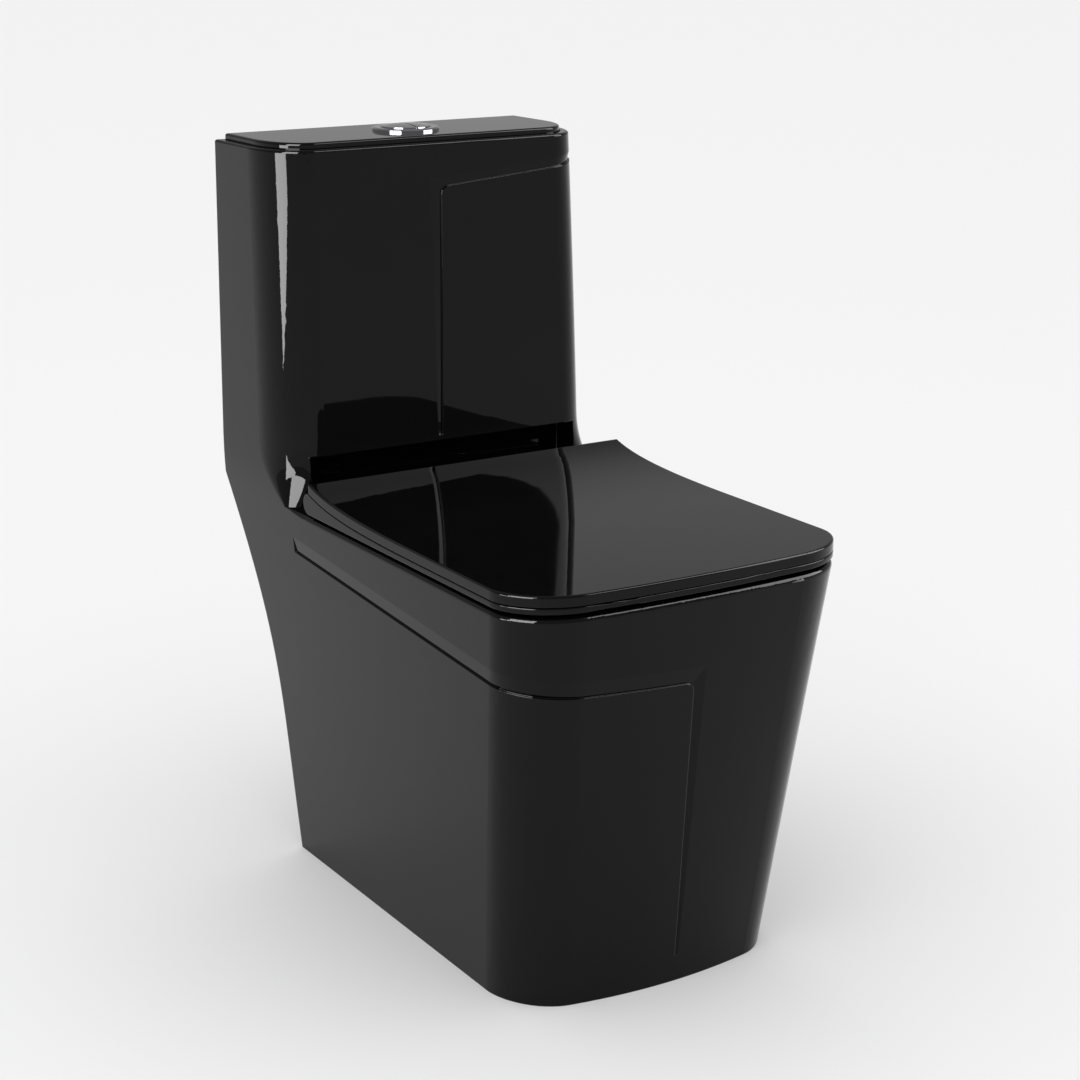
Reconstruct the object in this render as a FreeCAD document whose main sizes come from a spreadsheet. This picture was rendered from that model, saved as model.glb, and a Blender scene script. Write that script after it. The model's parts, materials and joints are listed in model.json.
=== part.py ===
import FreeCAD, Part
import Sketcher
import math
import os
import re

# One-piece toilet with dual-flush cistern, lid, seat ring and seat cover.
#
# Row frame in millimetres: origin at the centre of the footprint on the floor, +Z up, -Y to the front of
# the bowl, +Y to the wall behind, X across. The toilet is mirror-symmetric about X = 0 apart from its relief
# and its valves.

V = FreeCAD.Vector
UP = V(0, 0, 1)

os.makedirs("parts", exist_ok=True)
doc = FreeCAD.newDocument("toilet")

# ------------------------------------------------------------------------------ driving dimensions
DIMENSIONS = {
    # ceramic: pan
    "back_plane": 310, "rim_height": 402, "wall": 11,
    "base_half": 152.2, "base_front": -258.5, "base_bow": 23, "base_corner_x": 51, "base_corner_y": 56,
    "rim_half": 183.8, "rim_front": -310, "rim_bow": 11, "rim_corner_x": 65, "rim_corner_y": 52,
    "rim_round": 5, "rim_round_end": 0.8, "rim_round_fade": 120, "deck_thickness": 14,
    # ceramic: tank
    "tank_top": 760, "tank_top_half": 181.4, "tank_taper": 0.0123, "tank_shoulder": 455,
    "tank_depth_top": 147, "tank_depth_deck": 160, "tank_foot_y": 167,
    "tank_corner_x": 42, "tank_corner_y": 66, "tank_bow": 1.5, "tank_belly": 1.6, "tank_edge_round": 2.5,
    "cistern_floor": 465, "cistern_neck": 736, "neck_inset": 17, "ledge_height": 752, "rebate_inset": 7,
    "recess_half": 158, "recess_bottom": 413, "recess_top": 452, "recess_back": 190,
    # ceramic: water ways
    "trap_bore": 26, "trap_wall": 9, "trap_bend": 37,
    "outlet_y": 85, "outlet_radius": 51, "outlet_bore": 40, "outlet_bottom": 3, "outlet_length": 42,
    "duct_bore": 26, "duct_wall": 9, "duct_height": 350, "duct_bend": 40, "bowl_waist": 270,
    "valve_hole": 32, "valve_boss": 43, "fill_hole": 13, "bolt_hole": 4.5, "seat_hole": 8,
    # relief grooves
    "relief_depth": 1.8, "pan_ramp": 16, "tank_ramp": 10, "relief_round": 9,
    "pan_line": 337.5, "pan_line_x": -0.045, "pan_line_y": 0.07,
    "tank_line": 706.5, "tank_line_x": -0.0821, "tank_line_y": 0.05,
    # lid and its push buttons
    "lid_top": 766.4, "lid_inset": 8.2, "lid_bottom": 754, "lid_rib": 6, "lid_round": 2.5, "lid_hole": 29.5,
    "valve_x": 0, "valve_y": 233,
    "flange_radius": 35, "flange_height": 3.5, "barrel_radius": 29, "well_radius": 26.2, "barrel_bottom": 732,
    "well_floor": 738, "button_radius": 25.8, "button_gap": 1.6, "button_top": 773, "button_bottom": 752,
    "rod_radius": 2.5, "rod_offset": 13, "spring_radius": 5.2, "spring_wire": 0.5, "spring_turns": 5,
    # flush valve
    "gasket": 3, "base_plate": 5, "base_radius": 38, "shank_radius": 30, "shank_length": 20, "seat_bore": 22,
    "bolt_x": 50, "bolt_y": 222, "bolt_radius": 4, "tower_radius": 34, "tower_wall": 3, "tower_top": 606,
    "bar_offset": 24, "bar_radius": 3, "rocker_height": 620, "rocker_pin_radius": 2, "push_arm": 14,
    "overflow_x": -46, "overflow_y": 266, "overflow_radius": 12, "overflow_top": 700,
    # fill valve
    "fill_x": -110, "fill_y": 235, "tail_radius": 10.48, "tail_bottom": 400, "thread_bottom": 440,
    "thread_radius": 11.5, "fill_flange": 16, "riser_radius": 12, "riser_top": 690, "cap_radius": 18,
    "elbow_radius": 4,
    "float_radius": 29, "float_bottom": 590, "float_height": 60, "lever_pivot_x": -96, "lever_height": 702,
    "lever_pin_radius": 1.5,
    # seat
    "seat_bottom": 405.5, "seat_half": 184, "hinge_y": 111, "hinge_z": 416.5, "hinge_x": 78, "ring_end": 11,
    "ring_open_x": 105, "ring_open_y": 140, "ring_open_centre": -95,
    "cover_top": 422.5, "cover_thickness": 10, "cover_skin": 5, "parting_gap": 0.8,
    "cover_rear": 109, "cover_rear_top": 438.5, "knuckle_radius": 9.5,
    "pin_radius": 4, "pin_clearance": 0.05, "post_width": 14, "stud_radius": 4,
}

sheet = doc.addObject("Spreadsheet::Sheet", "sizes")
for row, (alias, size) in enumerate(DIMENSIONS.items(), start=1):
    sheet.set(f"A{row}", alias)
    sheet.set(f"B{row}", str(size))
    sheet.setAlias(f"B{row}", alias)
doc.recompute()


class Sizes:
    """The sheet's values, read by name."""

    def __getattr__(self, alias):
        return float(getattr(sheet, alias))


s = Sizes()
WORD = re.compile(r"[a-z][a-z_]*[a-z]")


def bound(formula):
    """A formula in the sheet's aliases, as an expression for another object."""
    return WORD.sub(lambda match: f"sizes.{match[0]}", str(formula))


def bind(thing, **formulas):
    """Binds properties to formulas. A double underscore stands for a dot."""
    for name, formula in formulas.items():
        thing.setExpression(name.replace("__", "."), bound(formula))
    return thing


def place(thing, x=0, y=0, z=0):
    return bind(thing, Placement__Base__x=x, Placement__Base__y=y, Placement__Base__z=z)


# ------------------------------------------------------------------------- document-object helpers
def cylinder(name, radius, bottom, top, x=0, y=0):
    """An upright cylinder between two heights."""
    made = doc.addObject("Part::Cylinder", name)
    bind(made, Radius=radius, Height=f"({top}) - ({bottom})")
    return place(made, x, y, bottom)


def lying_cylinder(name, radius, axis, start, end, x=0, y=0, z=0):
    """A cylinder along X or Y between two positions on that axis."""
    made = doc.addObject("Part::Cylinder", name)
    bind(made, Radius=radius, Height=f"({end}) - ({start})")
    turn = FreeCAD.Rotation(V(0, 1, 0), 90) if axis == "x" else FreeCAD.Rotation(V(1, 0, 0), -90)
    made.Placement = FreeCAD.Placement(V(), turn)
    if axis == "x":
        return place(made, start, y, z)
    return place(made, x, start, z)


def block(name, x_range, y_range, z_range):
    """A box between two positions on each axis."""
    made = doc.addObject("Part::Box", name)
    sides = ("Length", "Width", "Height")
    for side, (low, high) in zip(sides, (x_range, y_range, z_range)):
        made.setExpression(side, bound(f"({high}) - ({low})"))
    return place(made, x_range[0], y_range[0], z_range[0])


def prism(name, sides, across_flats, bottom, top, x=0, y=0):
    """A regular prism, such as a hexagon nut's body."""
    made = doc.addObject("Part::Prism", name)
    made.Polygon = sides
    corner_share = 0.5 / math.cos(math.pi / sides)
    bind(made, Circumradius=f"({across_flats}) * {corner_share}", Height=f"({top}) - ({bottom})")
    return place(made, x, y, bottom)


def joined(name, *shapes):
    made = doc.addObject("Part::MultiFuse", name)
    made.Shapes = list(shapes)
    made.Refine = True
    return made


def cut(name, base, *tools):
    tool = tools[0] if len(tools) == 1 else joined(f"{name}_cutters", *tools)
    made = doc.addObject("Part::Cut", name)
    made.Base = base
    made.Tool = tool
    return made


def turned(name, outline, x=0, y=0):
    """A body of revolution about an upright axis. The outline lists (radius, height) formulas."""
    body = doc.addObject("PartDesign::Body", name)
    sketch = body.newObject("Sketcher::SketchObject", f"{name}_outline")
    plane = next(f for f in body.Origin.OriginFeatures if f.Role == "XZ_Plane")
    sketch.AttachmentSupport = [(plane, "")]
    sketch.MapMode = "FlatFace"
    corners = [V(*(float(sheet.evalExpression(str(f))) for f in corner), 0) for corner in outline]
    for here, there in zip(corners, corners[1:] + corners[:1]):
        sketch.addGeometry(Part.LineSegment(here, there), False)
    for edge in range(len(corners)):
        after = (edge + 1) % len(corners)
        sketch.addConstraint(Sketcher.Constraint("Coincident", edge, 2, after, 1))
    for edge, (formulas, corner) in enumerate(zip(outline, corners)):
        for kind, formula, size in zip(("DistanceX", "DistanceY"), formulas, (corner.x, corner.y)):
            number = sketch.addConstraint(Sketcher.Constraint(kind, -1, 1, edge, 1, size))
            sketch.setExpression(f"Constraints[{number}]", bound(formula))
    turn = body.newObject("PartDesign::Revolution", f"{name}_turn")
    turn.Profile = sketch
    turn.ReferenceAxis = (sketch, ["V_Axis"])
    turn.Angle = 360
    sketch.Visibility = False
    return place(body, x, y)


def plain(name, shape):
    """A piece whose shape is made by the functions below from the sheet's sizes."""
    made = doc.addObject("Part::Feature", name)
    made.Shape = shape
    return made


# ----------------------------------------------------------------------------------- shape helpers
def between(low, high, share):
    return low + (high - low) * share


def outline(z, half, front, bow, corner_x, corner_y, back=None):
    """A closed plan outline: straight back and sides, a bowed front and rounded corners."""
    back = s.back_plane if back is None else back
    flat = half - corner_x
    front_end = front + bow * (flat / half) ** 2
    slope = 2 * bow * flat / half ** 2
    side_end = front + bow + corner_y
    pull = 0.5523
    points = {}
    for side in (1, -1):
        points[side] = [
            V(side * half, back, z),
            V(side * half, side_end, z),
            V(side * half, side_end - pull * corner_y, z),
            V(side * (flat + pull * corner_x), front_end + slope * pull * corner_x, z),
            V(side * flat, front_end, z),
        ]
    corners = {}
    for side in (1, -1):
        curve = Part.BezierCurve()
        curve.setPoles(points[side][1:] if side == 1 else points[side][:0:-1])
        corners[side] = curve.toShape()
    front_arc = Part.Arc(points[1][4], V(0, front, z), points[-1][4]).toShape()
    return Part.Wire([
        Part.makeLine(points[-1][0], points[1][0]),
        Part.makeLine(points[1][0], points[1][1]),
        corners[1],
        front_arc,
        corners[-1],
        Part.makeLine(points[-1][1], points[-1][0]),
    ])


def loft(wires, ruled=True):
    return Part.makeLoft(wires, True, ruled)


def upright(radius, bottom, top, x=0, y=0):
    return Part.makeCylinder(radius, top - bottom, V(x, y, bottom))


def slab(x_range, y_range, z_range):
    lows = V(x_range[0], y_range[0], z_range[0])
    return Part.makeBox(x_range[1] - lows.x, y_range[1] - lows.y, z_range[1] - lows.z, lows)


def rounded_path(points, radius):
    """Straight runs joined by tangent arcs of one radius."""
    edges = []
    here = points[0]
    for before, corner, after in zip(points, points[1:], points[2:]):
        back = (before - corner).normalize()
        ahead = (after - corner).normalize()
        half_angle = back.getAngle(ahead) / 2
        reach = radius / math.tan(half_angle)
        bisector = (back + ahead).normalize()
        middle = corner + bisector * (radius / math.sin(half_angle) - radius)
        start, end = corner + back * reach, corner + ahead * reach
        edges.append(Part.makeLine(here, start))
        edges.append(Part.Arc(start, middle, end).toShape())
        here = end
    edges.append(Part.makeLine(here, points[-1]))
    return Part.Wire(edges)


def tube(path, radius):
    """A round bar along a path."""
    start = path.Edges[0]
    direction = start.tangentAt(start.FirstParameter)
    section = Part.Wire([Part.makeCircle(radius, start.Vertexes[0].Point, direction)])
    return path.makePipeShell([section], True, False, 1)


def side_prism(edges, half):
    """Extrudes a closed outline in the Y-Z plane across X, the same distance each way."""
    face = Part.Face(Part.Wire(edges))
    face.translate(V(-half, 0, 0))
    return face.extrude(V(2 * half, 0, 0))


def line_loop(points):
    return [Part.makeLine(a, b) for a, b in zip(points, points[1:] + points[:1])]


# -------------------------------------------------------------------------------- ceramic outlines
def pan_outline(z, inset=0, back=None):
    """The pan's plan at a height. Its walls are straight from the base to the rim."""
    up = z / s.rim_height
    return outline(
        z,
        between(s.base_half, s.rim_half, up) - inset,
        between(s.base_front, s.rim_front, up) + inset,
        between(s.base_bow, s.rim_bow, up),
        between(s.base_corner_x, s.rim_corner_x, up) - inset / 2,
        between(s.base_corner_y, s.rim_corner_y, up) - inset / 2,
        back,
    )


def tank_half(z):
    """Half the tank's width, which carries on the pan side's slope and then tapers gently to the top."""
    if z >= s.tank_shoulder:
        return s.tank_top_half + s.tank_taper * (s.tank_top - z)
    rise = s.tank_shoulder - s.rim_height
    share = (z - s.rim_height) / rise
    pan_slope = (s.rim_half - s.base_half) / s.rim_height
    shoulder_half = s.tank_top_half + s.tank_taper * (s.tank_top - s.tank_shoulder)
    return (
        s.rim_half * (2 * share ** 3 - 3 * share ** 2 + 1)
        + pan_slope * rise * (share ** 3 - 2 * share ** 2 + share)
        + shoulder_half * (3 * share ** 2 - 2 * share ** 3)
        - s.tank_taper * rise * (share ** 3 - share ** 2)
    )


def tank_front(z):
    """The tank's front leans back, a little less at the deck than at the top."""
    up = (z - s.rim_height) / (s.tank_top - s.rim_height)
    belly = s.tank_belly * 4 * up * (1 - up)
    return s.back_plane - between(s.tank_depth_deck, s.tank_depth_top, up) - belly


def tank_outline(z, inset=0, back=None):
    """The tank's plan at a height. Its front corners are tight at the deck and open out above it."""
    foot_corner = s.tank_foot_y - tank_front(s.rim_height)
    opened = min(1, (z - s.rim_height) / (s.tank_shoulder - s.rim_height))
    opened = math.sin(opened * math.pi / 2)
    return outline(
        z,
        tank_half(z) - inset,
        tank_front(z) + inset,
        s.tank_bow,
        between(foot_corner * 1.6, s.tank_corner_x, opened) - inset / 2,
        between(foot_corner - s.tank_bow, s.tank_corner_y, opened) - inset / 2,
        back,
    )


def relief_cutter(outer, plane, ramp, edge_top, edge_bottom, ramp_end, y_start, front_at):
    """What two ramped grooves remove from a wall, for a panel on the -X side below a sloping line.

    plane gives the sloping line's height as a + b x + c y. The groove above it is deepest at the line and
    runs out ramp higher up. The upright groove is deepest at the line from edge_top to edge_bottom, given as
    (x, z), and runs out at x = ramp_end. front_at gives the front's y at a height, and y_start is where the
    sloping groove begins.
    """
    a, b, c = plane
    depth = s.relief_depth
    tilt = depth / ramp
    moved = FreeCAD.Matrix(
        1 + tilt * b, tilt * c, -tilt, depth + tilt * a,
        tilt * b, 1 + tilt * c, -tilt, depth + tilt * a,
        0, 0, 1, 0,
        0, 0, 0, 1,
    )
    core = outer.transformGeometry(moved)
    wide = 260
    level = [V(x, y, a + b * x + c * y) for x, y in ((-wide, -400), (wide, -400), (wide, 400), (-wide, 400))]
    above = Part.Face(Part.Wire(line_loop(level))).extrude(V(0, 0, ramp * 1.5))
    above = above.common(slab((-wide, ramp_end), (-400, y_start), (0, 900)))
    ring = above.cut(core)

    (top_x, top_z), (bottom_x, bottom_z) = edge_top, edge_bottom
    lean = (top_x - bottom_x) / (top_z - bottom_z)
    over_z = top_z + 2 * ramp
    over_x = top_x + lean * (over_z - top_z)
    sections = []
    for share in (0, 0.25, 0.5, 0.75, 1):
        x = between(bottom_x, over_x, share)
        z = between(bottom_z, over_z, share)
        face_y = front_at(z)
        sections.append(Part.makePolygon([
            V(x, face_y - 4, z), V(x, face_y + depth, z), V(ramp_end, face_y, z), V(ramp_end, face_y - 4, z),
            V(x, face_y - 4, z),
        ]))
    groove = loft(sections, ruled=False)

    right_of_edge = [
        V(bottom_x, -400, bottom_z), V(over_x, -400, over_z), V(wide, -400, over_z), V(wide, -400, bottom_z),
    ]
    beside = Part.Face(Part.Wire(line_loop(right_of_edge))).extrude(V(0, 800, 0))

    # the corner between the two lines, rounded by a circle that touches both
    face_y = front_at(a + b * top_x + c * front_at(top_z))
    level_at_zero = a + c * face_y
    corner_x = (top_x + lean * (level_at_zero - top_z)) / (1 - lean * b)
    corner = V(corner_x, face_y - 4, level_at_zero + b * corner_x)
    out_of_edge = V(1, 0, -lean).normalize()
    out_of_level = V(-b, 0, 1).normalize()
    radius = s.relief_round
    middle = corner - (out_of_edge + out_of_level) * (radius / (1 + out_of_edge.dot(out_of_level)))
    tip = Part.Face(Part.Wire(line_loop([
        middle,
        middle + out_of_edge * (radius + 1),
        corner + out_of_edge + out_of_level,
        middle + out_of_level * (radius + 1),
    ]))).extrude(V(0, depth + 4, 0))
    pin = Part.makeCylinder(radius, 40, middle - V(0, 20, 0), V(0, 1, 0))
    tip = tip.cut(pin).cut(beside).cut(above)

    cutter = ring.cut(beside).fuse([groove.cut(above), ring.common(groove), tip])
    return cutter


# --------------------------------------------------------------------------------- ceramic casting
def bowl(extra):
    """The bowl's inside, or its outside when extra is the wall thickness."""
    sections = [
        # height, half width, half length, centre
        (s.rim_height, 136, 181, -90),
        (s.rim_height - 5, 131.5, 176.5, -90),
        (s.rim_height - 16, 128.5, 173.5, -90),
        (330, 118, 160, -86),
        (270, 97, 132, -72),
        (215, 70, 95, -46),
        (170, 46, 58, -16),
        (145, 30, 36, 2),
    ]
    wires = []
    for z, half_width, half_length, centre in sections:
        # the ellipse's long axis runs front to back
        lie = FreeCAD.Rotation(UP, 90)
        ring = Part.Ellipse(V(), half_length + extra, half_width + extra).toShape()
        ring.Placement = FreeCAD.Placement(V(0, centre, z - extra if z < 200 else z), lie)
        wires.append(Part.Wire([ring]))
    return loft(wires, ruled=False)


def pan_casting():
    """The pan's outside, with its rim rounded and the rounding fading out towards the tank."""
    split = [s.tank_foot_y, s.rim_round_fade]
    whole = loft([pan_outline(0), pan_outline(s.rim_height)])
    rear = whole.common(slab((-300, 300), (split[0], 400), (-1, s.rim_height + 1)))
    middle = whole.common(slab((-300, 300), (split[1], split[0]), (-1, s.rim_height + 1)))
    front = whole.common(slab((-300, 300), (-400, split[1]), (-1, s.rim_height + 1)))

    def top_edges(piece):
        """The edges of the rim's top that lie on the outer wall, in front of the split."""
        return [
            e for e in piece.Edges
            if abs(e.BoundBox.ZMin - s.rim_height) < 0.01 and e.BoundBox.ZLength < 0.01
            and e.BoundBox.XLength < 2 * s.rim_half - 1
        ]

    front = front.makeFillet(s.rim_round, top_edges(front))
    faded = []
    for edge in top_edges(middle):
        rear_first = edge.Vertexes[0].Point.y > edge.Vertexes[-1].Point.y
        radii = (s.rim_round_end, s.rim_round) if rear_first else (s.rim_round, s.rim_round_end)
        faded.append((edge, radii))
    for edge, radii in faded:
        same = [e for e in middle.Edges if (e.CenterOfMass - edge.CenterOfMass).Length < 0.5]
        middle = middle.makeFillet(*radii, same)
    return front, middle, rear


def skirt_cutaway():
    """The curve that undercuts the tank behind the skirt, as a solid across the whole width."""
    top = V(0, s.back_plane, s.rim_height + 6.6)
    curve = Part.BezierCurve()
    curve.setPoles([V(0, 217.5, 0), V(0, 228.6, 186), V(0, 210, 230), top])
    foot = V(0, 217.5, -10)
    behind = V(0, 400, -10)
    above = V(0, 400, top.z)
    edges = [curve.toShape(), Part.makeLine(top, above), Part.makeLine(above, behind),
             Part.makeLine(behind, foot), Part.makeLine(foot, V(0, 217.5, 0))]
    return side_prism(edges, 260)


def trap_path():
    corners = [(0, 174), (66, 160), (122, 252), (182, 252), (176, 120), (s.outlet_y, 88), (s.outlet_y, -2)]
    return rounded_path([V(0, y, z) for y, z in corners], s.trap_bend)


def duct_path():
    corners = [(s.valve_y, s.cistern_floor - 4), (s.valve_y, s.duct_height), (60, s.duct_height)]
    return rounded_path([V(0, y, z) for y, z in corners], s.duct_bend)


def ceramic():
    front, middle, rear = pan_casting()
    # the tank flares into the deck below its shoulder
    flare_heights = [s.rim_height, 408, 415, 424, 437, s.tank_shoulder, s.tank_shoulder + 15]
    flare = loft([tank_outline(z) for z in flare_heights], ruled=False)
    tank_heights = [between(flare_heights[-1], s.tank_top, share) for share in (0, 1 / 3, 2 / 3, 1)]
    tank = loft([tank_outline(z) for z in tank_heights], ruled=False)
    top_edges = [e for e in tank.Edges if e.BoundBox.ZMin > s.tank_top - 0.01]
    tank_rounded = tank.makeFillet(s.tank_edge_round, top_edges)
    outside = front.fuse([middle, rear, flare, tank_rounded])

    # hollow of the skirt and of the space under the cistern
    deck_bottom = s.rim_height - s.deck_thickness
    hollow = loft([pan_outline(-1, s.wall, 400), pan_outline(deck_bottom, s.wall, 400)])
    under_tank = slab((-168, 168), (s.recess_back + s.wall, s.back_plane - s.wall),
                      (deck_bottom - 10, s.cistern_floor - s.wall))
    trap = trap_path()
    duct = duct_path()
    solids_inside = bowl(s.wall).fuse([
        tube(trap, s.trap_bore + s.trap_wall),
        upright(s.outlet_radius, s.outlet_bottom, s.outlet_bottom + s.outlet_length, 0, s.outlet_y),
        tube(duct, s.duct_bore + s.duct_wall),
        upright(s.valve_boss, s.cistern_floor - 32, s.cistern_floor, s.valve_x, s.valve_y),
    ])
    hollow = hollow.fuse(under_tank).cut(solids_inside)

    water_ways = bowl(0).fuse([
        tube(trap, s.trap_bore),
        upright(s.outlet_bore, -5, 32, 0, s.outlet_y),
        Part.makeCone(s.outlet_bore, s.trap_bore, 20, V(0, s.outlet_y, 32)),
        tube(duct, s.duct_bore),
        upright(s.valve_hole, s.cistern_floor - 26, s.cistern_floor + 1, s.valve_x, s.valve_y),
    ])
    cistern = loft([tank_outline(s.cistern_floor, s.wall, s.back_plane - s.wall),
                    tank_outline(s.cistern_neck, s.wall, s.back_plane - s.wall)])
    neck = loft([tank_outline(s.cistern_neck - 1, s.neck_inset, s.back_plane - s.neck_inset),
                 tank_outline(s.ledge_height + 1, s.neck_inset, s.back_plane - s.neck_inset)])
    rebate = loft([tank_outline(s.ledge_height, s.rebate_inset, s.back_plane - s.rebate_inset),
                   tank_outline(s.tank_top + 1, s.rebate_inset, s.back_plane - s.rebate_inset)])
    recess = slab((-s.recess_half, s.recess_half), (100, s.recess_back), (s.recess_bottom, s.recess_top))

    floor_range = (s.cistern_floor - 20, s.cistern_floor + 1)
    holes = [upright(s.fill_hole, *floor_range, s.fill_x, s.fill_y)]
    for side in (-1, 1):
        holes.append(upright(s.bolt_hole, *floor_range, side * s.bolt_x, s.bolt_y))
        holes.append(upright(s.seat_hole, deck_bottom - 5, s.rim_height + 1, side * s.hinge_x, s.hinge_y))

    pan_relief = relief_cutter(
        loft([pan_outline(0), pan_outline(s.rim_height)]), (s.pan_line, s.pan_line_x, s.pan_line_y),
        s.pan_ramp, (0.3, 306), (9, 29), 12.5, 153,
        lambda z: between(s.base_front, s.rim_front, z / s.rim_height),
    )
    tank_relief = relief_cutter(
        tank, (s.tank_line, s.tank_line_x, s.tank_line_y), s.tank_ramp, (-1.5, 706), (6, 458), 11.5, 240,
        tank_front,
    ).mirror(V(), V(1, 0, 0))

    body = outside.cut([hollow, skirt_cutaway(), cistern, neck, rebate, recess] + holes)
    body = body.cut(water_ways)
    body = body.cut([pan_relief, tank_relief])
    return walls_of(body, deck_bottom, trap, duct)


def walls_of(body, deck_bottom, trap, duct):
    """The casting as seven pieces that meet face to face, because each of its walls bends round a space."""
    far = (-400, 400)
    tank = body.common(slab(far, far, (s.recess_top, 900)))
    foot = body.common(slab(far, far, (s.rim_height, s.recess_top)))
    lower = body.common(slab(far, far, (-10, s.rim_height)))
    duct_bar = tube(duct, s.duct_bore + s.duct_wall).common(slab(far, far, (0, s.cistern_floor - 32)))
    bowl_bar = bowl(s.wall).common(slab(far, far, (0, deck_bottom)))
    trap_bar = tube(trap, s.trap_bore + s.trap_wall).fuse(
        upright(s.outlet_radius, s.outlet_bottom, s.outlet_bottom + s.outlet_length, 0, s.outlet_y))
    trap_bar = trap_bar.common(slab(far, far, (0, deck_bottom)))
    bowl_wall = lower.common(bowl_bar)
    return {
        "ceramic_tank": tank.cut(duct_bar),
        "ceramic_tank_foot": foot.cut(duct_bar),
        "ceramic_pan": lower.cut([duct_bar, bowl_bar, trap_bar]),
        "ceramic_bowl": bowl_wall.common(slab(far, far, (s.bowl_waist, deck_bottom))),
        "ceramic_sump": bowl_wall.common(slab(far, far, (0, s.bowl_waist))),
        "ceramic_trapway": lower.common(trap_bar).cut([bowl_bar, duct_bar]),
        "ceramic_flush_duct": body.common(duct_bar).cut(bowl_bar),
    }


# ------------------------------------------------------------------------------------- cistern lid
def lid_outline(inset, z):
    wire = tank_outline(s.tank_top, inset, s.back_plane - inset)
    wire.translate(V(0, 0, z - s.tank_top))
    return wire


def plate(wire, height):
    return Part.Face(wire).extrude(V(0, 0, height))


def cistern_lid():
    """A thick plate in the tank's rebate, with a locating rib below and a hole for the button housing."""
    lid = plate(lid_outline(s.lid_inset, s.lid_bottom), s.lid_top - s.lid_bottom)
    top_edges = [e for e in lid.Edges if e.BoundBox.ZMin > s.lid_top - 0.01]
    lid = lid.makeFillet(s.lid_round, top_edges)
    rib_outside = s.neck_inset + 2
    rib = plate(lid_outline(rib_outside, s.lid_bottom - s.lid_rib), s.lid_rib)
    rib = rib.cut(plate(lid_outline(rib_outside + 7, s.lid_bottom - s.lid_rib), s.lid_rib))
    hole = upright(s.lid_hole, s.lid_bottom - 1, s.lid_top + 1, s.valve_x, s.valve_y)
    return lid.fuse(rib).cut(hole).removeSplitter()


def lid_pads():
    """Soft pads that carry the lid on the ledge."""
    inset = (s.rebate_inset + s.neck_inset) / 2
    side = s.tank_top_half - inset
    front = tank_front(s.tank_top) + inset
    places = [(sign * x, y) for sign in (-1, 1) for x, y in ((side, s.back_plane - 22), (110, front + 0.8))]
    return Part.makeCompound([upright(4, s.ledge_height, s.lid_bottom, x, y) for x, y in places])


# ------------------------------------------------------------------------------------ push buttons
BUTTON_SIDES = {"half": -1, "full": 1}


def rod_place(kind):
    """The push rods stand side by side, a little apart front to back so that each meets its own mechanism."""
    side = BUTTON_SIDES[kind]
    return s.valve_x + side * s.rod_offset, s.valve_y + side * 7


def button_half(kind):
    """Half of a domed disc, hollow below, with a socket for its rod."""
    side = BUTTON_SIDES[kind]
    rod_x, rod_y = rod_place(kind)
    dome_rise = 2.2
    dome_radius = (s.button_radius ** 2 + dome_rise ** 2) / (2 * dome_rise)
    disc = upright(s.button_radius, s.button_bottom, s.button_top + 1, s.valve_x, s.valve_y)
    disc = disc.common(Part.makeSphere(dome_radius, V(s.valve_x, s.valve_y, s.button_top - dome_radius)))
    reach = s.button_radius + 1
    x_range = sorted((side * s.button_gap / 2, side * reach))
    y_range = (s.valve_y - reach, s.valve_y + reach)
    half = disc.common(slab(x_range, y_range, (s.button_bottom, s.button_top + 1)))
    rims = [e for e in half.Edges if e.BoundBox.ZMin > s.button_top - dome_rise - 0.1]
    half = half.makeFillet(0.7, rims)
    skin = 2.5
    inside = upright(s.button_radius - skin, s.button_bottom - 1, s.button_top - 7, s.valve_x, s.valve_y)
    inner_x = sorted((side * (s.button_gap / 2 + skin), side * reach))
    inside = inside.common(slab(inner_x, y_range, (s.button_bottom - 1, s.button_top)))
    socket = upright(4, s.button_bottom + 6, s.button_top - 6.5, rod_x, rod_y)
    inside = inside.cut(socket)
    hole = upright(s.rod_radius, s.button_bottom, s.button_top - 8, rod_x, rod_y)
    return half.cut(inside).cut(hole)


def button_spring(kind):
    """A coil spring around the rod, between the housing's floor and the button."""
    rod_x, rod_y = rod_place(kind)
    bottom = s.well_floor + s.spring_wire + 0.1
    length = s.button_top - 7 - s.spring_wire - 0.1 - bottom
    helix = Part.makeHelix(length / s.spring_turns, length, s.spring_radius)
    start = V(s.spring_radius, 0, 0)
    wire = Part.Wire([Part.makeCircle(s.spring_wire, start, V(0, 1, 0))])
    coil = Part.Wire(helix.Edges).makePipeShell([wire], True, True)
    coil.translate(V(rod_x, rod_y, bottom))
    return coil


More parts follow.
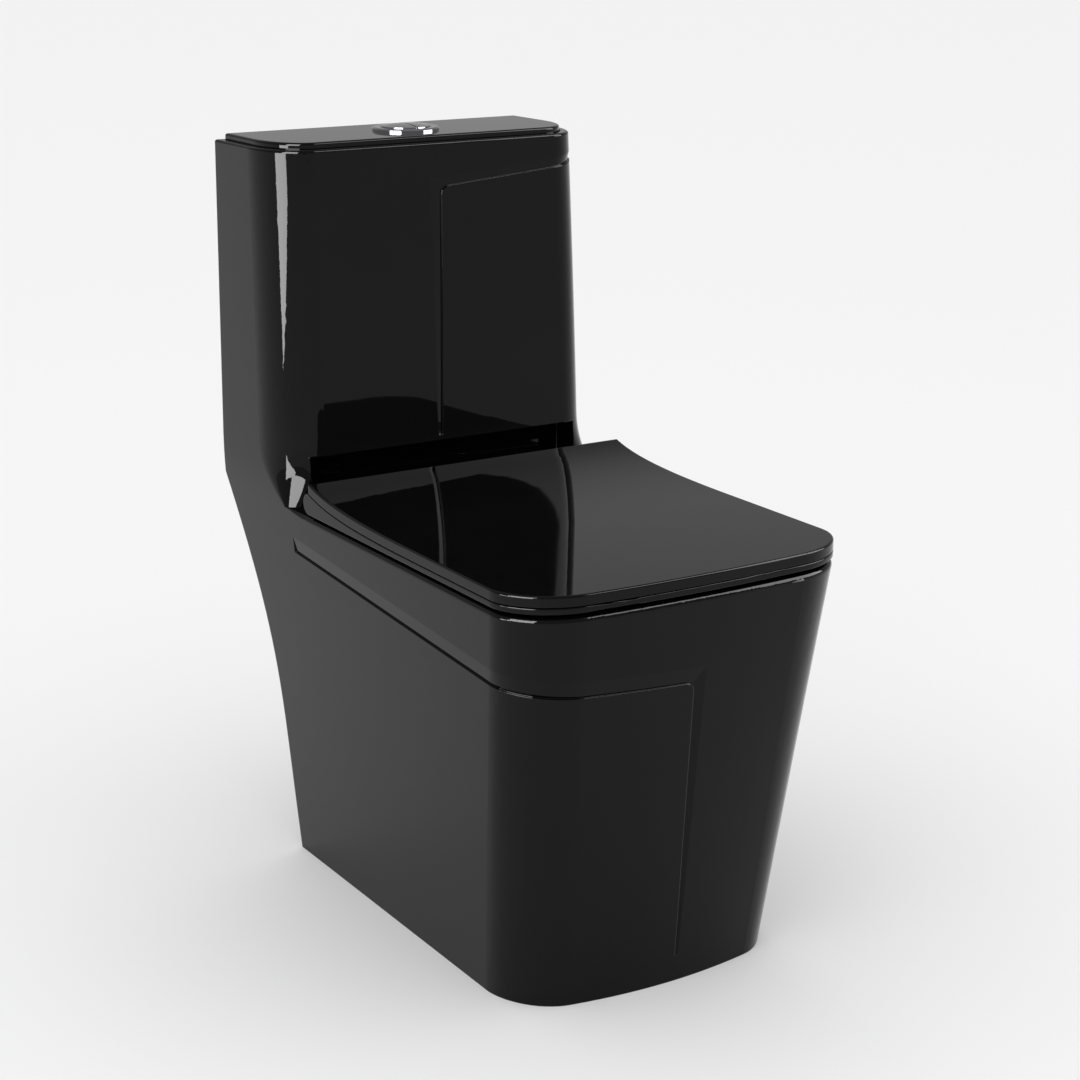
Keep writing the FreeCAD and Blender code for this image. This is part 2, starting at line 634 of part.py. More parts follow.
def make_buttons():
    flange_top = "lid_top + flange_height"
    centre = ("valve_x", "valve_y")
    shell = turned("button_housing_shell", [
        ("well_radius", "well_floor"), ("well_radius", f"{flange_top} - 0.8"),
        ("well_radius + 0.8", flange_top), ("flange_radius - 1.5", flange_top),
        ("flange_radius", f"{flange_top} - 1.5"), ("flange_radius", "lid_top"),
        ("barrel_radius", "lid_top"), ("barrel_radius", "barrel_bottom"), ("well_radius", "barrel_bottom"),
    ], *centre)
    floor = cylinder("housing_floor", "barrel_radius - 1", "well_floor - 3", "well_floor", *centre)
    holes = [
        cylinder(f"{kind}_rod_hole", "rod_radius + 0.5", "well_floor - 4", "well_floor + 1",
                 f"valve_x + {side} * rod_offset", f"valve_y + {side} * 7")
        for kind, side in BUTTON_SIDES.items()
    ]
    nodes = [cut("button_housing", joined("housing_blank", shell, floor), *holes)]
    nut = prism("lock_nut_blank", 8, "2 * barrel_radius + 16", "lid_bottom - 6", "lid_bottom", *centre)
    bore = cylinder("lock_nut_bore", "barrel_radius", "lid_bottom - 7", "lid_bottom + 1", *centre)
    nodes.append(cut("button_lock_nut", nut, bore))
    for kind, side in BUTTON_SIDES.items():
        nodes.append(plain(f"{kind}_flush_button", button_half(kind)))
        nodes.append(cylinder(f"{kind}_push_rod", "rod_radius", "rocker_height + 3.2", "button_top - 8",
                              f"valve_x + {side} * rod_offset", f"valve_y + {side} * 7"))
        nodes.append(plain(f"{kind}_button_spring", button_spring(kind)))
    return nodes


# ------------------------------------------------------------------------------------- flush valve
def hex_nut(name, across_flats, bore, bottom, top, x, y):
    body = prism(f"{name}_blank", 6, across_flats, bottom, top, x, y)
    return cut(name, body, cylinder(f"{name}_bore", bore, f"{bottom} - 1", f"{top} + 1", x, y))


def make_flush_valve():
    plate_bottom = "cistern_floor + gasket"
    plate_top = "cistern_floor + gasket + base_plate"
    centre = ("valve_x", "valve_y")
    left_bolt = ("-bolt_x", "bolt_y")
    right_bolt = ("bolt_x", "bolt_y")
    overflow = ("overflow_x", "overflow_y")
    nodes = [turned("flush_valve_gasket", [
        ("shank_radius + 0.2", "cistern_floor"), ("shank_radius + 10", "cistern_floor"),
        ("shank_radius + 10", plate_bottom), ("shank_radius + 0.2", plate_bottom),
    ], *centre)]

    base_parts = [
        cylinder("base_disc", "base_radius", plate_bottom, plate_top, *centre),
        cylinder("base_seat", "seat_bore + 3", plate_top, f"{plate_top} + 2", *centre),
        cylinder("base_shank", "shank_radius", f"{plate_bottom} - shank_length", plate_bottom, *centre),
        block("base_ears", ("-bolt_x", "bolt_x"), ("bolt_y - 9", "bolt_y + 9"), (plate_bottom, plate_top)),
        cylinder("base_left_ear", 9, plate_bottom, plate_top, *left_bolt),
        cylinder("base_right_ear", 9, plate_bottom, plate_top, *right_bolt),
        block("base_arm", ("overflow_x - 8", "overflow_x + 20"), ("valve_y - 5", "overflow_y"),
              (plate_bottom, plate_top)),
        cylinder("base_foot", "overflow_radius + 4", plate_bottom, f"{plate_top} + 8", *overflow),
    ]
    below_shank = f"{plate_bottom} - shank_length - 1"
    through = (f"{plate_bottom} - 1", f"{plate_top} + 1")
    base_tools = [
        cylinder("base_bore", "seat_bore", below_shank, f"{plate_top} + 3", *centre),
        cylinder("base_shank_bore", "shank_radius - 4", below_shank, plate_bottom, *centre),
        cylinder("base_left_hole", "bolt_radius", *through, *left_bolt),
        cylinder("base_right_hole", "bolt_radius", *through, *right_bolt),
        cylinder("base_foot_bore", "overflow_radius", plate_top, f"{plate_top} + 9", *overflow),
    ]
    nodes.append(cut("flush_valve_base", joined("base_blank", *base_parts), *base_tools))

    bolts, nuts = [], []
    for side, at in (("left", left_bolt), ("right", right_bolt)):
        shank = cylinder(f"{side}_bolt_shank", "bolt_radius", "cistern_floor - wall - 14", plate_top, *at)
        head = prism(f"{side}_bolt_head", 6, 13, plate_top, f"{plate_top} + 5", *at)
        bolts.append(joined(f"{side}_valve_bolt", shank, head))
        nuts.append(hex_nut(f"{side}_valve_nut", 13, "bolt_radius", "cistern_floor - wall - 8",
                            "cistern_floor - wall", *at))
    nodes.append(joined("flush_valve_bolts", *bolts))
    nodes.append(joined("flush_valve_nuts", *nuts))

    head_bottom = "tower_top - 6"
    bar_y = "valve_y + 7"
    pivot_x = "valve_x + rod_offset - push_arm"
    left_bar = ("valve_x - bar_offset", bar_y)
    right_bar = ("valve_x + bar_offset", bar_y)
    trip = ("valve_x - rod_offset", "valve_y - 7")
    cheek_x = (f"{pivot_x} - 4", f"{pivot_x} + 4")
    cheek_z = ("tower_top - 1", "rocker_height + 4")
    blank = joined(
        "tower_blank",
        cylinder("tower_skin", "tower_radius", plate_top, "tower_top", *centre),
        block("tower_front_cheek", cheek_x, (f"{bar_y} - 13.5", f"{bar_y} - 10.5"), cheek_z),
        block("tower_back_cheek", cheek_x, (f"{bar_y} + 10.5", f"{bar_y} + 13.5"), cheek_z),
    )
    hollow = cylinder("tower_hollow", "tower_radius - tower_wall", f"{plate_top} - 1", head_bottom, *centre)
    head_z = ("tower_top - 7", "tower_top + 1")
    window_z = (f"{plate_top} + 6", f"{plate_top} + 56")
    pivot = (pivot_x, 0, "rocker_height")
    tools = [
        hollow,
        cylinder("left_bar_hole", "bar_radius + 0.4", *head_z, *left_bar),
        cylinder("right_bar_hole", "bar_radius + 0.4", *head_z, *right_bar),
        cylinder("trip_hole", "rod_radius + 0.4", *head_z, *trip),
        lying_cylinder("cheek_hole", "rocker_pin_radius", "y", f"{bar_y} - 15", f"{bar_y} + 15", *pivot),
        block("side_windows", ("valve_x - 40", "valve_x + 40"), ("valve_y - 11", "valve_y + 11"), window_z),
        block("front_windows", ("valve_x - 11", "valve_x + 11"), ("valve_y - 40", "valve_y + 40"), window_z),
    ]
    nodes.append(cut("flush_tower", blank, *tools))
    nodes.append(lying_cylinder("rocker_pin", "rocker_pin_radius", "y", f"{bar_y} - 14", f"{bar_y} + 14",
                                *pivot))

    arm_z = ("rocker_height - 2", "rocker_height + 2")
    rocker = joined(
        "rocker_blank",
        block("rocker_arm", (f"{pivot_x} - 29", f"{pivot_x} + push_arm + 4"),
              (f"{bar_y} - 6.7", f"{bar_y} + 6.7"), arm_z),
        lying_cylinder("rocker_boss", 4.5, "y", f"{bar_y} - 9", f"{bar_y} + 9", *pivot),
    )
    fork = block("rocker_fork", (f"{pivot_x} - 30", f"{pivot_x} - 17"), (f"{bar_y} - 3.7", f"{bar_y} + 3.7"),
                 ("rocker_height - 3", "rocker_height + 3"))
    pivot_bore = lying_cylinder("rocker_bore", "rocker_pin_radius + 0.05", "y", f"{bar_y} - 15",
                                f"{bar_y} + 15", *pivot)
    nodes.append(cut("lift_rocker", rocker, fork, pivot_bore))

    seal_bottom = f"{plate_top} + 2.3"
    nodes.append(turned("flush_seal", [
        ("seat_bore - 3", seal_bottom), ("seat_bore + 5", seal_bottom),
        ("seat_bore + 5", f"{seal_bottom} + 2.5"), ("seat_bore - 3", f"{seal_bottom} + 2.5"),
    ], *centre))
    disc_bottom = f"{seal_bottom} + 2.5"
    nodes.append(joined(
        "flush_piston",
        cylinder("piston_disc", "tower_radius - tower_wall - 1.8", disc_bottom, f"{disc_bottom} + 6",
                 *centre),
        cylinder("piston_float", 18, disc_bottom, f"{disc_bottom} + 42", *centre),
        cylinder("lift_bar", "bar_radius", disc_bottom, "rocker_height + 8", *left_bar),
        cylinder("lift_collar", 5, "rocker_height + 2.8", "rocker_height + 8", *left_bar),
        cylinder("guide_bar", "bar_radius", disc_bottom, "tower_top + 6", *right_bar),
    ))
    nodes.append(joined(
        "half_flush_trip",
        cylinder("trip_stem", "rod_radius", "tower_top - 46", "rocker_height - 1", *trip),
        cylinder("trip_pad", 5.5, "rocker_height - 2", "rocker_height + 2.6", *trip),
    ))
    nodes.append(turned("overflow_tube", [
        ("overflow_radius - 2", plate_top), ("overflow_radius", plate_top),
        ("overflow_radius", "overflow_top"), ("overflow_radius - 2", "overflow_top"),
    ], *overflow))
    return nodes


# -------------------------------------------------------------------------------------- fill valve
def refill_path():
    """From the cap straight to above the overflow tube, then down into its mouth."""
    cap_centre = V(s.fill_x, s.fill_y, s.riser_top + 15)
    over = V(s.overflow_x, s.overflow_y, s.riser_top + 15)
    along = (over - cap_centre).normalize()
    return rounded_path([cap_centre + along * 12, over, over - V(0, 0, 23)], 9)


def fill_cap():
    """The valve's cap, with a cheek for the lever's pin and a socket for the refill elbow."""
    cap = upright(s.cap_radius, s.riser_top, s.riser_top + 22, s.fill_x, s.fill_y)
    cap = cap.makeFillet(2, [e for e in cap.Edges if e.BoundBox.ZMin > s.riser_top + 21])
    pivot = s.lever_pivot_x
    cheek = slab((pivot - 4, pivot + 4), (217, s.fill_y), (s.lever_height - 6, s.lever_height + 6))
    cap = cap.fuse(cheek)
    pin = Part.makeCylinder(s.lever_pin_radius, 30, V(pivot, 205, s.lever_height + 1), V(0, 1, 0))
    return cap.cut([tube(refill_path(), s.elbow_radius), pin])


def make_fill_valve():
    at = ("fill_x", "fill_y")
    flange_bottom = "cistern_floor + 2.5"
    nodes = [turned("fill_valve_body", [
        (6, "tail_bottom"), ("tail_radius", "tail_bottom"), ("tail_radius", "thread_bottom"),
        ("thread_radius", "thread_bottom"), ("thread_radius", flange_bottom), ("fill_flange", flange_bottom),
        ("fill_flange", f"{flange_bottom} + 4"), ("riser_radius", f"{flange_bottom} + 4"),
        ("riser_radius", "riser_top"), (6, "riser_top"),
    ], *at)]
    nodes.append(turned("fill_valve_washer", [
        ("thread_radius", "cistern_floor"), ("fill_flange + 2", "cistern_floor"),
        ("fill_flange + 2", flange_bottom), ("thread_radius", flange_bottom),
    ], *at))
    nodes.append(hex_nut("fill_valve_nut", 32, "thread_radius", "cistern_floor - wall - 9",
                         "cistern_floor - wall", *at))
    nodes.append(plain("fill_valve_cap", fill_cap()))
    elbow = tube(refill_path(), s.elbow_radius).cut(tube(refill_path(), s.elbow_radius - 1.2))
    nodes.append(plain("refill_elbow", elbow))
    link = ("fill_x - 18", "fill_y - 22")
    float_top = "float_bottom + float_height"
    cup = turned("float_cup_ring", [
        ("riser_radius + 0.4", "float_bottom"), ("float_radius", "float_bottom"),
        ("float_radius", float_top), ("riser_radius + 0.4", float_top),
    ], *at)
    nodes.append(joined(
        "float_cup", cup,
        cylinder("float_ear", 4, f"{float_top} - 10", float_top, *link),
        cylinder("float_link", 1.5, f"{float_top} - 5", "lever_height - 1.6", *link),
    ))
    lever_z = ("lever_height - 1", "lever_height + 3")
    pivot = ("lever_pivot_x", 0, "lever_height + 1")
    arm = block("lever_arm", ("lever_pivot_x - 42", "lever_pivot_x + 4"), (209.5, 216.4), lever_z)
    bore = lying_cylinder("lever_bore", "lever_pin_radius + 0.05", "y", 205, 220, *pivot)
    nodes.append(cut("float_lever", arm, bore))
    nodes.append(lying_cylinder("float_lever_pin", "lever_pin_radius", "y", 208, 224, *pivot))
    return nodes


# -------------------------------------------------------------------------------------------- seat
def rear_rise(drop):
    """The seat's side profile, which is flat and then sweeps up towards the back, lowered by a drop."""
    level = s.cover_top - drop
    flat = V(0, -100, level)
    end = V(0, s.cover_rear, s.cover_rear_top - drop)
    curve = Part.BezierCurve()
    curve.setPoles([flat, V(0, 20, level), V(0, 75, level + 5), end])
    return curve.toShape(), flat, end


def between_rises(top_drop, bottom_drop):
    """The solid between two copies of the side profile, across the whole width."""
    top, top_flat, top_end = rear_rise(top_drop)
    bottom, bottom_flat, bottom_end = rear_rise(bottom_drop)
    fore = -400
    edges = [
        top, Part.makeLine(top_end, bottom_end), bottom,
        Part.makeLine(bottom_flat, V(0, fore, bottom_flat.z)),
        Part.makeLine(V(0, fore, bottom_flat.z), V(0, fore, top_flat.z)),
        Part.makeLine(V(0, fore, top_flat.z), top_flat),
    ]
    return side_prism(Part.sortEdges(edges)[0], 260)


def seat_plan(inset, back):
    wire = outline(s.seat_bottom - 20, s.seat_half - inset, s.rim_front + inset, s.rim_bow,
                   s.rim_corner_x - inset / 2, s.rim_corner_y - inset / 2, back)
    return plate(wire, 60)


def across(radius, start, end):
    """A bar on the hinge line between two positions across the seat."""
    return Part.makeCylinder(radius, end - start, V(start, s.hinge_y, s.hinge_z), V(1, 0, 0))


def hinge_spans(inner, outer):
    """Left and right spans: distances from each hinge's middle towards the centre and outwards."""
    return [(-s.hinge_x - outer, -s.hinge_x + inner), (s.hinge_x - inner, s.hinge_x + outer)]


def outer_edges(shape, z_low, z_high):
    """Edges on the seat's outer wall that lie between two heights and aren't upright."""
    found = []
    for e in shape.Edges:
        box = e.BoundBox
        on_side = box.XMax > s.seat_half - 0.05 or box.XMin < -s.seat_half + 0.05
        on_front = box.YMax < -230
        upright_edge = box.ZLength > max(box.XLength, box.YLength)
        if (on_side or on_front) and not upright_edge and z_low < box.ZMin and box.ZMax < z_high:
            found.append(e)
    return found


def seat_ring():
    top_drop = s.cover_thickness + s.parting_gap + 0.2
    curve, flat, end = rear_rise(top_drop)
    low = s.seat_bottom
    crown = V(0, s.hinge_y, s.hinge_z + s.ring_end)
    tip = V(0, s.hinge_y + s.ring_end, s.hinge_z)
    heel = V(0, s.hinge_y, low)
    fore = -400
    profile = [
        curve, Part.makeLine(end, crown), Part.Arc(crown, tip, heel).toShape(),
        Part.makeLine(heel, V(0, fore, low)), Part.makeLine(V(0, fore, low), V(0, fore, flat.z)),
        Part.makeLine(V(0, fore, flat.z), flat),
    ]
    ring = side_prism(Part.sortEdges(profile)[0], 260).common(seat_plan(0, s.hinge_y + 40))
    ring = ring.makeFillet(1.2, outer_edges(ring, low - 1, 430))
    opening = Part.Ellipse(V(), s.ring_open_y, s.ring_open_x).toShape()
    opening.Placement = FreeCAD.Placement(V(0, s.ring_open_centre, low - 5), FreeCAD.Rotation(UP, 90))
    ring = ring.cut(Part.Face(Part.Wire([opening])).extrude(V(0, 0, 40)))
    inner = [
        e for e in ring.Edges
        if e.BoundBox.XMax < s.ring_open_x + 0.1 and e.BoundBox.XMin > -s.ring_open_x - 0.1
        and e.BoundBox.YLength > s.ring_open_y
    ]
    ring = ring.makeFillet(2, inner)
    for start, end in hinge_spans(20, 20):
        ring = ring.cut(slab((start, end), (s.hinge_y - 26, s.hinge_y + 40), (low - 5, 440)))
    for start, end in hinge_spans(29, 29):
        ring = ring.cut(across(s.pin_radius + s.pin_clearance, start, end))
    return ring


def seat_cover():
    cover = between_rises(0, s.cover_thickness).common(seat_plan(0, s.cover_rear + 40))
    rims = outer_edges(cover, 415, 445)
    rear_top = [
        e for e in cover.Edges
        if e.BoundBox.YMin > s.cover_rear - 0.1 and e.BoundBox.ZMin > s.cover_rear_top - 0.5
    ]
    cover = cover.makeFillet(2.2, rims + rear_top)
    hollow = between_rises(s.cover_skin, s.cover_thickness + 1).common(seat_plan(7, s.cover_rear - 7))
    cover = cover.cut(hollow)
    for spans in (hinge_spans(19.5, -7.5), hinge_spans(-7.5, 19.5)):
        for start, end in spans:
            knuckle = across(s.knuckle_radius, start, end)
            web = slab((start, end), (s.hinge_y - 9, s.cover_rear), (s.hinge_z, s.hinge_z + 14))
            cover = cover.fuse([knuckle, web])
    for start, end in hinge_spans(29, 29):
        cover = cover.cut(across(s.pin_radius + s.pin_clearance, start, end))
    return cover


def pads(places, radius, bottom, top):
    """Round pads in mirrored pairs."""
    return Part.makeCompound([
        upright(radius, bottom, top, side * x, y) for side in (-1, 1) for x, y in places
    ])


def make_seat():
    nodes = [plain("seat_ring", seat_ring()), plain("seat_cover", seat_cover())]
    ring_pads = pads([(158, 20), (125, -240)], 7, s.rim_height + 0.2, s.seat_bottom)
    nodes.append(plain("ring_buffers", ring_pads))
    ring_top = s.cover_top - s.cover_thickness - s.parting_gap - 0.2
    cover_pads = pads([(140, -130), (100, -262)], 5, ring_top + 0.3, s.cover_top - s.cover_skin)
    nodes.append(plain("cover_buffers", cover_pads))

    deck_bottom = "rim_height - deck_thickness"
    axis = (0, "hinge_y", "hinge_z")
    posts, pins, studs, sleeves, nuts = [], [], [], [], []
    for side, sign in (("left", "-"), ("right", "")):
        x = f"{sign}hinge_x"
        at = (x, "hinge_y")
        x_range = (f"{x} - post_width / 2", f"{x} + post_width / 2")
        blank = joined(
            f"{side}_post_blank",
            cylinder(f"{side}_post_foot", 13, "rim_height", "rim_height + 3", *at),
            block(f"{side}_post_column", x_range, ("hinge_y - 7", "hinge_y + 7"), ("rim_height", "hinge_z")),
            lying_cylinder(f"{side}_post_eye", "knuckle_radius", "x", *x_range, *axis),
        )
        posts.append(cut(
            f"{side}_hinge_post", blank,
            lying_cylinder(f"{side}_eye_bore", "pin_radius", "x", f"{x} - 10", f"{x} + 10", *axis),
            cylinder(f"{side}_stud_bore", "stud_radius", "rim_height - 1", "rim_height + 7", *at),
        ))
        pins.append(lying_cylinder(f"{side}_hinge_pin", "pin_radius", "x", f"{x} - 28", f"{x} + 28", *axis))
        studs.append(cylinder(f"{side}_seat_stud", "stud_radius", f"{deck_bottom} - 36", "rim_height + 7",
                              *at))
        sleeves.append(turned(f"{side}_seat_sleeve", [
            ("stud_radius", f"{deck_bottom} - 12"), (12, f"{deck_bottom} - 12"), (12, deck_bottom),
            (7.8, deck_bottom), (7.8, "rim_height"), ("stud_radius", "rim_height"),
        ], *at))
        nuts.append(hex_nut(f"{side}_seat_nut", 19, "stud_radius", f"{deck_bottom} - 23",
                            f"{deck_bottom} - 12", *at))
    for name, pair in (("hinge_posts", posts), ("hinge_pins", pins), ("seat_studs", studs),
                       ("seat_sleeves", sleeves), ("seat_nuts", nuts)):
        nodes.append(joined(name, *pair))
    return nodes


# ------------------------------------------------------------------------------------------ output
def check(nodes):
    """Stops if any object failed, or if a sub-part's shape is missing or unsound."""
    doc.recompute()
    for thing in doc.Objects:
        if {"Invalid", "Error"} & set(thing.State):
            raise RuntimeError(f"{thing.Label} failed: {thing.State}")
    for node in nodes:
        if node.Shape.isNull() or not node.Shape.isValid() or not node.Shape.Solids:
            raise RuntimeError(f"{node.Label} has no sound shape")


def write(nodes):
    for node in nodes:
        node.Shape.exportStep(f"parts/{node.Label}.step")
        print(f"{node.Label}: {len(node.Shape.Solids)} solids, {node.Shape.Volume / 1000:.2f} cm3")


nodes = [
    *(plain(name, shape) for name, shape in ceramic().items()),
    plain("cistern_lid", cistern_lid()),
    plain("lid_pads", lid_pads()),
    *make_buttons(),
    *make_flush_valve(),
    *make_fill_valve(),
    *make_seat(),
]
check(nodes)
write(nodes)
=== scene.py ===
import json
import math

import bpy
from mathutils import Matrix, Vector


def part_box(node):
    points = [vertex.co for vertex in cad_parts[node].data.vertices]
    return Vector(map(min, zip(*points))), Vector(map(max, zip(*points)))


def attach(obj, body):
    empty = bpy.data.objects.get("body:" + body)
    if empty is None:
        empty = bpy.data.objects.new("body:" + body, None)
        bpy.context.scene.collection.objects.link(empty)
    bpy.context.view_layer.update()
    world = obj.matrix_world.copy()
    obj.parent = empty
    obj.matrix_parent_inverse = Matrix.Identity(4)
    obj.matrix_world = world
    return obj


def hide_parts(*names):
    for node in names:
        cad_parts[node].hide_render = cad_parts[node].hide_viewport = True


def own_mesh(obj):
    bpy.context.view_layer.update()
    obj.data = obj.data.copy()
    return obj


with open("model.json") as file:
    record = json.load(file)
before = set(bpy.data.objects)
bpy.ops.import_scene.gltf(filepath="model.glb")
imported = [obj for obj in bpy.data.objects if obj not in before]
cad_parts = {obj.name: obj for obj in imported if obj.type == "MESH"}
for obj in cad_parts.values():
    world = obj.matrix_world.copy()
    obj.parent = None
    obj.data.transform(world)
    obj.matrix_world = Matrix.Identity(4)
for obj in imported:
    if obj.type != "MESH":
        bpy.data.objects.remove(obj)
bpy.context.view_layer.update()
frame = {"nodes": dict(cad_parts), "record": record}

# Camera in the row frame: metres, and degrees of azimuth, pitch and roll.
CAMERA_PLACE = (-1.1514, -1.9054, 1.0174)
CAMERA_AZIMUTH, CAMERA_PITCH, CAMERA_ROLL = 31.58, 16.01, -0.12
CAMERA_LENS, CAMERA_SENSOR = 76.88, 36

# Where the casting is divided in level planes. The recess under the cistern opens at the upper plane, and the
# last two values reach a little past its side and back walls.
LOWER_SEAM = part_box("ceramic_tank_foot")[0][2]
UPPER_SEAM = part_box("ceramic_tank")[0][2]
RECESS_HALF, RECESS_BACK = 0.1595, 0.192

SMOOTH_ANGLE = math.radians(32)
GLAZE_EDGE, SEAT_EDGE = 0.0014, 0.0006
SPRING_TURNS, SPRING_WIRE = 5, 0.0005
STEPS_A_TURN, WIRE_SIDES = 36, 10

# Light strengths, and degrees of the sun's width and tilt. The black gloss reflects about a hundredth of what
# faces it, so the panels are far brighter than the rest.
WORLD_LIGHT = 0.44
SUN_LIGHT, SUN_WIDTH, SUN_TILT = 2.05, 150, 8
LEFT_LIGHT, RIGHT_LIGHT = 25, 11
FLOOR_GREY, FLOOR_HALF = 0.85, 400


# ------------------------------------------------------------------------------------------------- materials
def new_material(name, **sockets):
    """A Principled material with constants on its own sockets."""
    material = bpy.data.materials.new(name)
    material.use_nodes = True
    shader = material.node_tree.nodes["Principled BSDF"]
    for socket, value in sockets.items():
        shader.inputs[socket.replace("_", " ")].default_value = value
    return material, material.node_tree, shader


def grey(level, tint=(1, 1, 1)):
    return (*(level * share for share in tint), 1)


def noise(tree, scale, detail=2):
    node = tree.nodes.new("ShaderNodeTexNoise")
    node.inputs["Scale"].default_value = scale
    node.inputs["Detail"].default_value = detail
    place = tree.nodes.new("ShaderNodeTexCoord")
    tree.links.new(place.outputs["Object"], node.inputs["Vector"])
    return node.outputs["Fac"]


def ramp(tree, factor, low, high):
    """A colour that goes from low to high over the middle of the factor's range."""
    node = tree.nodes.new("ShaderNodeValToRGB")
    for element, position, colour in zip(node.color_ramp.elements, (0.3, 0.7), (low, high)):
        element.position = position
        element.color = colour
    tree.links.new(factor, node.inputs["Fac"])
    return node.outputs["Color"]


def span(tree, factor, low, high, start=0.3, end=0.7):
    """A number that goes from low to high as the factor goes from start to end."""
    node = tree.nodes.new("ShaderNodeMapRange")
    for socket, value in (("From Min", start), ("From Max", end), ("To Min", low), ("To Max", high)):
        node.inputs[socket].default_value = value
    tree.links.new(factor, node.inputs["Value"])
    return node.outputs["Result"]


def bump(tree, shader, height, strength, distance, surface=None):
    """Fine relief on the surface's own normals, or on the normals given."""
    node = tree.nodes.new("ShaderNodeBump")
    node.inputs["Strength"].default_value = strength
    node.inputs["Distance"].default_value = distance
    tree.links.new(height, node.inputs["Height"])
    tree.links.new(node.outputs["Normal"], shader.inputs["Normal"])
    if surface:
        tree.links.new(surface, node.inputs["Normal"])


def rounded(tree, radius):
    """Normals that make every edge look rounded to the radius."""
    node = tree.nodes.new("ShaderNodeBevel")
    node.samples = 16
    node.inputs["Radius"].default_value = radius
    return node.outputs["Normal"]


def calculate(tree, operation, *values):
    """The result of a Math node, whose inputs are numbers or other nodes' outputs."""
    node = tree.nodes.new("ShaderNodeMath")
    node.operation = operation
    for socket, value in zip(node.inputs, values):
        if isinstance(value, (int, float)):
            socket.default_value = value
        else:
            tree.links.new(value, socket)
    return node.outputs["Value"]


def rounded_casting(tree, radius):
    """Rounded edges on the casting, except where its nodes meet in one unbroken face, which has no edge."""
    place = tree.nodes.new("ShaderNodeTexCoord")
    axes = tree.nodes.new("ShaderNodeSeparateXYZ")
    tree.links.new(place.outputs["Object"], axes.inputs["Vector"])
    x, y, z = axes.outputs

    across = calculate(tree, "LESS_THAN", calculate(tree, "ABSOLUTE", x), RECESS_HALF)
    in_front = calculate(tree, "LESS_THAN", y, RECESS_BACK)
    off_recess = calculate(tree, "SUBTRACT", 1, calculate(tree, "MULTIPLY", across, in_front))
    at_lower = calculate(tree, "COMPARE", z, LOWER_SEAM, 2 * radius)
    at_upper = calculate(tree, "COMPARE", z, UPPER_SEAM, 2 * radius)
    seam = calculate(tree, "MAXIMUM", at_lower, calculate(tree, "MULTIPLY", at_upper, off_recess))

    plain = tree.nodes.new("ShaderNodeNewGeometry")
    blend = tree.nodes.new("ShaderNodeMix")
    blend.data_type = "VECTOR"
    tree.links.new(seam, blend.inputs["Factor"])
    tree.links.new(rounded(tree, radius), blend.inputs["A"])
    tree.links.new(plain.outputs["Normal"], blend.inputs["B"])
    return blend.outputs["Result"]


def glaze():
    """Black vitreous glaze: a clear gloss over black, with the faint waviness of a fired surface."""
    material, tree, shader = new_material("black_glaze", IOR=1.25)
    colour = ramp(tree, noise(tree, 9, 3), grey(0.0016), grey(0.0024, (1, 1, 1.04)))
    roughness = span(tree, noise(tree, 40, 4), 0.015, 0.03, 0.35, 0.65)
    tree.links.new(colour, shader.inputs["Base Color"])
    tree.links.new(roughness, shader.inputs["Roughness"])
    bump(tree, shader, noise(tree, 14, 1), 0.006, 0.002, rounded_casting(tree, GLAZE_EDGE))
    return material


def seat_plastic():
    """Moulded black thermoset with a polished face."""
    material, tree, shader = new_material("black_seat", IOR=1.25)
    colour = ramp(tree, noise(tree, 14), grey(0.0018), grey(0.0026))
    roughness = span(tree, noise(tree, 55, 3), 0.02, 0.04, 0.35, 0.65)
    tree.links.new(colour, shader.inputs["Base Color"])
    tree.links.new(roughness, shader.inputs["Roughness"])
    bump(tree, shader, noise(tree, 160), 0.004, 0.001, rounded(tree, SEAT_EDGE))
    return material


def metal(name, tint, low, high, scale):
    """Metal whose roughness drifts between low and high."""
    material, tree, shader = new_material(name, Metallic=1.0)
    colour = ramp(tree, noise(tree, scale, 3), grey(0.92, tint), grey(1.0, tint))
    roughness = span(tree, noise(tree, 3 * scale, 4), low, high)
    tree.links.new(colour, shader.inputs["Base Color"])
    tree.links.new(roughness, shader.inputs["Roughness"])
    bump(tree, shader, noise(tree, 8 * scale), 0.03, 0.0005)
    return material


def moulded(name, tint, rough, grain=420):
    """Moulded plastic or rubber with a fine grain."""
    material, tree, shader = new_material(name, IOR=1.49)
    colour = ramp(tree, noise(tree, 30, 3), grey(0.93, tint), grey(1.0, tint))
    roughness = span(tree, noise(tree, 90, 3), rough - 0.05, rough + 0.05)
    tree.links.new(colour, shader.inputs["Base Color"])
    tree.links.new(roughness, shader.inputs["Roughness"])
    bump(tree, shader, noise(tree, grain), 0.12, 0.0004)
    return material


MATERIALS = {
    "black_glaze": glaze(),
    "black_seat": seat_plastic(),
    "bright_chrome": metal("bright_chrome", (0.3, 0.3, 0.31), 0.05, 0.1, 30),
    "steel": metal("steel", (0.6, 0.6, 0.61), 0.22, 0.34, 60),
    "brass_nut": metal("brass_nut", (0.72, 0.53, 0.27), 0.2, 0.32, 60),
    "white_moulding": moulded("white_moulding", (0.78, 0.78, 0.75), 0.38),
    "blue_moulding": moulded("blue_moulding", (0.07, 0.19, 0.38), 0.36),
    "grey_moulding": moulded("grey_moulding", (0.3, 0.31, 0.32), 0.4),
    "grey_rubber": moulded("grey_rubber", (0.09, 0.09, 0.09), 0.6, 250),
    "black_rubber": moulded("black_rubber", (0.012, 0.012, 0.012), 0.5, 250),
    "clear_rubber": moulded("clear_rubber", (0.5, 0.5, 0.48), 0.35, 250),
}
SLOTS = {part["node"]: part["material_slot"] for part in frame["record"]["subparts"]}


